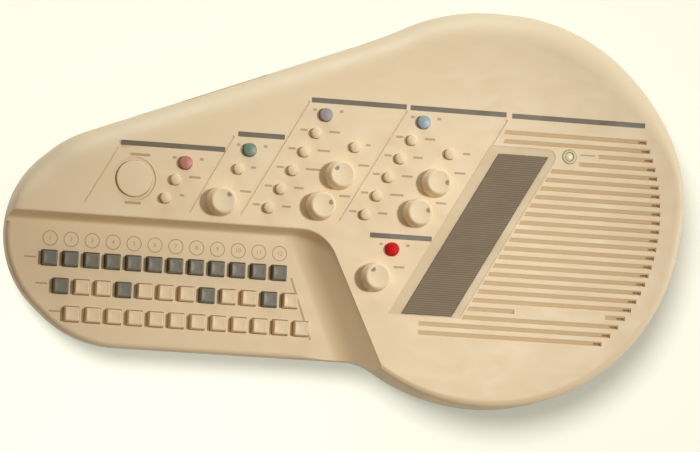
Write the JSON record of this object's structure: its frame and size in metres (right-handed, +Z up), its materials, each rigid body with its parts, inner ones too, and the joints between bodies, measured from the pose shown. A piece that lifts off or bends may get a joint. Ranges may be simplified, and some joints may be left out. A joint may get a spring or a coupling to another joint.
{
  "type": "electronic autoharp",
  "caption": "Pear-shaped electronic autoharp with chord keys, turning knobs, push buttons, a ribbed strum plate, a louvred speaker grille and a battery door.",
  "frame": {"origin": "on the table, under the middle of the instrument's bounding box", "axes": "+X towards the round bowl at the player's right, +Y towards the rear edge, +Z up, away from the table"},
  "size_m": [0.5867, 0.3424, 0.0759],
  "materials": {
    "cream": "satin moulded plastic",
    "cream_low": "fine-textured moulded plastic",
    "dark_key": "satin moulded plastic",
    "strum": "ribbed satin plastic",
    "pink": "satin moulded plastic",
    "teal": "satin moulded plastic",
    "lilac": "satin moulded plastic",
    "blue": "satin moulded plastic",
    "red": "satin moulded plastic",
    "board": "circuit board and moulded switch parts",
    "speaker": "black steel basket with a paper cone"
  },
  "bodies": {
    "casing": {"top_shell": "cream", "bottom_shell": "cream_low", "strum_plate": "strum", "speaker": "speaker", "control_board": "board", "chord_board": "board"},
    "door": {"battery_door": "cream_low"},
    "melody_volume_knob_body": {"melody_volume_knob": "cream"},
    "rhythm_tempo_knob_body": {"rhythm_tempo_knob": "cream"},
    "rhythm_volume_knob_body": {"rhythm_volume_knob": "cream"},
    "chord_tone_knob_body": {"chord_tone_knob": "cream"},
    "chord_volume_knob_body": {"chord_volume_knob": "cream"},
    "master_volume_knob_body": {"master_volume_knob": "cream"},
    "pink_push_cap_body": {"pink_push_cap": "pink"},
    "teal_push_cap_body": {"teal_push_cap": "teal"},
    "lilac_push_cap_body": {"lilac_push_cap": "lilac"},
    "blue_push_cap_body": {"blue_push_cap": "blue"},
    "red_push_cap_body": {"red_push_cap": "red"},
    "small_button_1_body": {"small_button_1": "cream"},
    "small_button_2_body": {"small_button_2": "cream"},
    "small_button_3_body": {"small_button_3": "cream"},
    "small_button_4_body": {"small_button_4": "cream"},
    "small_button_5_body": {"small_button_5": "cream"},
    "start_pad_body": {"start_pad": "cream"},
    "chord_key_1_01_body": {"chord_key_1_01": "dark_key"},
    "chord_key_1_02_body": {"chord_key_1_02": "dark_key"},
    "chord_key_1_03_body": {"chord_key_1_03": "dark_key"},
    "chord_key_1_04_body": {"chord_key_1_04": "dark_key"},
    "chord_key_1_05_body": {"chord_key_1_05": "dark_key"},
    "chord_key_1_06_body": {"chord_key_1_06": "dark_key"},
    "chord_key_1_07_body": {"chord_key_1_07": "dark_key"},
    "chord_key_1_08_body": {"chord_key_1_08": "dark_key"},
    "chord_key_1_09_body": {"chord_key_1_09": "dark_key"},
    "chord_key_1_10_body": {"chord_key_1_10": "dark_key"},
    "chord_key_1_11_body": {"chord_key_1_11": "dark_key"},
    "chord_key_1_12_body": {"chord_key_1_12": "dark_key"},
    "chord_key_2_01_body": {"chord_key_2_01": "dark_key"},
    "chord_key_2_02_body": {"chord_key_2_02": "cream"},
    "chord_key_2_03_body": {"chord_key_2_03": "cream"},
    "chord_key_2_04_body": {"chord_key_2_04": "dark_key"},
    "chord_key_2_05_body": {"chord_key_2_05": "cream"},
    "chord_key_2_06_body": {"chord_key_2_06": "cream"},
    "chord_key_2_07_body": {"chord_key_2_07": "cream"},
    "chord_key_2_08_body": {"chord_key_2_08": "dark_key"},
    "chord_key_2_09_body": {"chord_key_2_09": "cream"},
    "chord_key_2_10_body": {"chord_key_2_10": "cream"},
    "chord_key_2_11_body": {"chord_key_2_11": "dark_key"},
    "chord_key_2_12_body": {"chord_key_2_12": "cream"},
    "chord_key_3_01_body": {"chord_key_3_01": "cream"},
    "chord_key_3_02_body": {"chord_key_3_02": "cream"},
    "chord_key_3_03_body": {"chord_key_3_03": "cream"},
    "chord_key_3_04_body": {"chord_key_3_04": "cream"},
    "chord_key_3_05_body": {"chord_key_3_05": "cream"},
    "chord_key_3_06_body": {"chord_key_3_06": "cream"},
    "chord_key_3_07_body": {"chord_key_3_07": "cream"},
    "chord_key_3_08_body": {"chord_key_3_08": "cream"},
    "chord_key_3_09_body": {"chord_key_3_09": "cream"},
    "chord_key_3_10_body": {"chord_key_3_10": "cream"},
    "chord_key_3_11_body": {"chord_key_3_11": "cream"},
    "chord_key_3_12_body": {"chord_key_3_12": "cream"}
  },
  "joints": [
    {"name": "battery_door_hinge", "type": "hinge", "parent": "casing", "child": "door", "pos_m": [0.036, 0.019, 0.004], "axis": [-1, 0, 0], "range_deg": [0, 80]},
    {"name": "melody_volume_turn", "type": "hinge", "parent": "casing", "child": "melody_volume_knob_body", "pos_m": [-0.116, -0.0112, 0.0623], "axis": [0, 0, 1], "range_deg": [-108, 192]},
    {"name": "rhythm_tempo_turn", "type": "hinge", "parent": "casing", "child": "rhythm_tempo_knob_body", "pos_m": [-0.015, 0.018, 0.0623], "axis": [0, 0, 1], "range_deg": [-196, 104]},
    {"name": "rhythm_volume_turn", "type": "hinge", "parent": "casing", "child": "rhythm_volume_knob_body", "pos_m": [-0.0303, -0.0092, 0.0623], "axis": [0, 0, 1], "range_deg": [-82, 218]},
    {"name": "chord_tone_turn", "type": "hinge", "parent": "casing", "child": "chord_tone_knob_body", "pos_m": [0.0693, 0.0174, 0.0623], "axis": [0, 0, 1], "range_deg": [-59, 241]},
    {"name": "chord_volume_turn", "type": "hinge", "parent": "casing", "child": "chord_volume_knob_body", "pos_m": [0.054, -0.0094, 0.0623], "axis": [0, 0, 1], "range_deg": [-75, 225]},
    {"name": "master_volume_turn", "type": "hinge", "parent": "casing", "child": "master_volume_knob_body", "pos_m": [0.0198, -0.0664, 0.0623], "axis": [0, 0, 1], "range_deg": [-188, 112]},
    {"name": "pink_push_cap_press", "type": "slide", "parent": "casing", "child": "pink_push_cap_body", "axis": [0, 0, -1], "range_m": [0, 0.0015], "stiffness_N_per_m": 400, "springref_m": -0.001},
    {"name": "teal_push_cap_press", "type": "slide", "parent": "casing", "child": "teal_push_cap_body", "axis": [0, 0, -1], "range_m": [0, 0.0015], "stiffness_N_per_m": 400, "springref_m": -0.001},
    {"name": "lilac_push_cap_press", "type": "slide", "parent": "casing", "child": "lilac_push_cap_body", "axis": [0, 0, -1], "range_m": [0, 0.0015], "stiffness_N_per_m": 400, "springref_m": -0.001},
    {"name": "blue_push_cap_press", "type": "slide", "parent": "casing", "child": "blue_push_cap_body", "axis": [0, 0, -1], "range_m": [0, 0.0015], "stiffness_N_per_m": 400, "springref_m": -0.001},
    {"name": "red_push_cap_press", "type": "slide", "parent": "casing", "child": "red_push_cap_body", "axis": [0, 0, -1], "range_m": [0, 0.0015], "stiffness_N_per_m": 400, "springref_m": -0.001},
    {"name": "small_button_1_press", "type": "slide", "parent": "casing", "child": "small_button_1_body", "axis": [0, 0, -1], "range_m": [0, 0.0015], "stiffness_N_per_m": 400, "springref_m": -0.001},
    {"name": "small_button_2_press", "type": "slide", "parent": "casing", "child": "small_button_2_body", "axis": [0, 0, -1], "range_m": [0, 0.0015], "stiffness_N_per_m": 400, "springref_m": -0.001},
    {"name": "small_button_3_press", "type": "slide", "parent": "casing", "child": "small_button_3_body", "axis": [0, 0, -1], "range_m": [0, 0.0015], "stiffness_N_per_m": 400, "springref_m": -0.001},
    {"name": "small_button_4_press", "type": "slide", "parent": "casing", "child": "small_button_4_body", "axis": [0, 0, -1], "range_m": [0, 0.0015], "stiffness_N_per_m": 400, "springref_m": -0.001},
    {"name": "small_button_5_press", "type": "slide", "parent": "casing", "child": "small_button_5_body", "axis": [0, 0, -1], "range_m": [0, 0.0015], "stiffness_N_per_m": 400, "springref_m": -0.001},
    {"name": "start_pad_press", "type": "slide", "parent": "casing", "child": "start_pad_body", "axis": [0, 0, -1], "range_m": [0, 0.001], "stiffness_N_per_m": 600, "springref_m": -0.001},
    {"name": "chord_key_1_01_press", "type": "slide", "parent": "casing", "child": "chord_key_1_01_body", "axis": [0, 0, -1], "range_m": [0, 0.0025], "stiffness_N_per_m": 200, "springref_m": -0.001},
    {"name": "chord_key_1_02_press", "type": "slide", "parent": "casing", "child": "chord_key_1_02_body", "axis": [0, 0, -1], "range_m": [0, 0.0025], "stiffness_N_per_m": 200, "springref_m": -0.001},
    {"name": "chord_key_1_03_press", "type": "slide", "parent": "casing", "child": "chord_key_1_03_body", "axis": [0, 0, -1], "range_m": [0, 0.0025], "stiffness_N_per_m": 200, "springref_m": -0.001},
    {"name": "chord_key_1_04_press", "type": "slide", "parent": "casing", "child": "chord_key_1_04_body", "axis": [0, 0, -1], "range_m": [0, 0.0025], "stiffness_N_per_m": 200, "springref_m": -0.001},
    {"name": "chord_key_1_05_press", "type": "slide", "parent": "casing", "child": "chord_key_1_05_body", "axis": [0, 0, -1], "range_m": [0, 0.0025], "stiffness_N_per_m": 200, "springref_m": -0.001},
    {"name": "chord_key_1_06_press", "type": "slide", "parent": "casing", "child": "chord_key_1_06_body", "axis": [0, 0, -1], "range_m": [0, 0.0025], "stiffness_N_per_m": 200, "springref_m": -0.001},
    {"name": "chord_key_1_07_press", "type": "slide", "parent": "casing", "child": "chord_key_1_07_body", "axis": [0, 0, -1], "range_m": [0, 0.0025], "stiffness_N_per_m": 200, "springref_m": -0.001},
    {"name": "chord_key_1_08_press", "type": "slide", "parent": "casing", "child": "chord_key_1_08_body", "axis": [0, 0, -1], "range_m": [0, 0.0025], "stiffness_N_per_m": 200, "springref_m": -0.001},
    {"name": "chord_key_1_09_press", "type": "slide", "parent": "casing", "child": "chord_key_1_09_body", "axis": [0, 0, -1], "range_m": [0, 0.0025], "stiffness_N_per_m": 200, "springref_m": -0.001},
    {"name": "chord_key_1_10_press", "type": "slide", "parent": "casing", "child": "chord_key_1_10_body", "axis": [0, 0, -1], "range_m": [0, 0.0025], "stiffness_N_per_m": 200, "springref_m": -0.001},
    {"name": "chord_key_1_11_press", "type": "slide", "parent": "casing", "child": "chord_key_1_11_body", "axis": [0, 0, -1], "range_m": [0, 0.0025], "stiffness_N_per_m": 200, "springref_m": -0.001},
    {"name": "chord_key_1_12_press", "type": "slide", "parent": "casing", "child": "chord_key_1_12_body", "axis": [0, 0, -1], "range_m": [0, 0.0025], "stiffness_N_per_m": 200, "springref_m": -0.001},
    {"name": "chord_key_2_01_press", "type": "slide", "parent": "casing", "child": "chord_key_2_01_body", "axis": [0, 0, -1], "range_m": [0, 0.0025], "stiffness_N_per_m": 200, "springref_m": -0.001},
    {"name": "chord_key_2_02_press", "type": "slide", "parent": "casing", "child": "chord_key_2_02_body", "axis": [0, 0, -1], "range_m": [0, 0.0025], "stiffness_N_per_m": 200, "springref_m": -0.001},
    {"name": "chord_key_2_03_press", "type": "slide", "parent": "casing", "child": "chord_key_2_03_body", "axis": [0, 0, -1], "range_m": [0, 0.0025], "stiffness_N_per_m": 200, "springref_m": -0.001},
    {"name": "chord_key_2_04_press", "type": "slide", "parent": "casing", "child": "chord_key_2_04_body", "axis": [0, 0, -1], "range_m": [0, 0.0025], "stiffness_N_per_m": 200, "springref_m": -0.001},
    {"name": "chord_key_2_05_press", "type": "slide", "parent": "casing", "child": "chord_key_2_05_body", "axis": [0, 0, -1], "range_m": [0, 0.0025], "stiffness_N_per_m": 200, "springref_m": -0.001},
    {"name": "chord_key_2_06_press", "type": "slide", "parent": "casing", "child": "chord_key_2_06_body", "axis": [0, 0, -1], "range_m": [0, 0.0025], "stiffness_N_per_m": 200, "springref_m": -0.001},
    {"name": "chord_key_2_07_press", "type": "slide", "parent": "casing", "child": "chord_key_2_07_body", "axis": [0, 0, -1], "range_m": [0, 0.0025], "stiffness_N_per_m": 200, "springref_m": -0.001},
    {"name": "chord_key_2_08_press", "type": "slide", "parent": "casing", "child": "chord_key_2_08_body", "axis": [0, 0, -1], "range_m": [0, 0.0025], "stiffness_N_per_m": 200, "springref_m": -0.001},
    {"name": "chord_key_2_09_press", "type": "slide", "parent": "casing", "child": "chord_key_2_09_body", "axis": [0, 0, -1], "range_m": [0, 0.0025], "stiffness_N_per_m": 200, "springref_m": -0.001},
    {"name": "chord_key_2_10_press", "type": "slide", "parent": "casing", "child": "chord_key_2_10_body", "axis": [0, 0, -1], "range_m": [0, 0.0025], "stiffness_N_per_m": 200, "springref_m": -0.001},
    {"name": "chord_key_2_11_press", "type": "slide", "parent": "casing", "child": "chord_key_2_11_body", "axis": [0, 0, -1], "range_m": [0, 0.0025], "stiffness_N_per_m": 200, "springref_m": -0.001},
    {"name": "chord_key_2_12_press", "type": "slide", "parent": "casing", "child": "chord_key_2_12_body", "axis": [0, 0, -1], "range_m": [0, 0.0025], "stiffness_N_per_m": 200, "springref_m": -0.001},
    {"name": "chord_key_3_01_press", "type": "slide", "parent": "casing", "child": "chord_key_3_01_body", "axis": [0, 0, -1], "range_m": [0, 0.0025], "stiffness_N_per_m": 200, "springref_m": -0.001},
    {"name": "chord_key_3_02_press", "type": "slide", "parent": "casing", "child": "chord_key_3_02_body", "axis": [0, 0, -1], "range_m": [0, 0.0025], "stiffness_N_per_m": 200, "springref_m": -0.001},
    {"name": "chord_key_3_03_press", "type": "slide", "parent": "casing", "child": "chord_key_3_03_body", "axis": [0, 0, -1], "range_m": [0, 0.0025], "stiffness_N_per_m": 200, "springref_m": -0.001},
    {"name": "chord_key_3_04_press", "type": "slide", "parent": "casing", "child": "chord_key_3_04_body", "axis": [0, 0, -1], "range_m": [0, 0.0025], "stiffness_N_per_m": 200, "springref_m": -0.001},
    {"name": "chord_key_3_05_press", "type": "slide", "parent": "casing", "child": "chord_key_3_05_body", "axis": [0, 0, -1], "range_m": [0, 0.0025], "stiffness_N_per_m": 200, "springref_m": -0.001},
    {"name": "chord_key_3_06_press", "type": "slide", "parent": "casing", "child": "chord_key_3_06_body", "axis": [0, 0, -1], "range_m": [0, 0.0025], "stiffness_N_per_m": 200, "springref_m": -0.001},
    {"name": "chord_key_3_07_press", "type": "slide", "parent": "casing", "child": "chord_key_3_07_body", "axis": [0, 0, -1], "range_m": [0, 0.0025], "stiffness_N_per_m": 200, "springref_m": -0.001},
    {"name": "chord_key_3_08_press", "type": "slide", "parent": "casing", "child": "chord_key_3_08_body", "axis": [0, 0, -1], "range_m": [0, 0.0025], "stiffness_N_per_m": 200, "springref_m": -0.001},
    {"name": "chord_key_3_09_press", "type": "slide", "parent": "casing", "child": "chord_key_3_09_body", "axis": [0, 0, -1], "range_m": [0, 0.0025], "stiffness_N_per_m": 200, "springref_m": -0.001},
    {"name": "chord_key_3_10_press", "type": "slide", "parent": "casing", "child": "chord_key_3_10_body", "axis": [0, 0, -1], "range_m": [0, 0.0025], "stiffness_N_per_m": 200, "springref_m": -0.001},
    {"name": "chord_key_3_11_press", "type": "slide", "parent": "casing", "child": "chord_key_3_11_body", "axis": [0, 0, -1], "range_m": [0, 0.0025], "stiffness_N_per_m": 200, "springref_m": -0.001},
    {"name": "chord_key_3_12_press", "type": "slide", "parent": "casing", "child": "chord_key_3_12_body", "axis": [0, 0, -1], "range_m": [0, 0.0025], "stiffness_N_per_m": 200, "springref_m": -0.001}
  ]
}
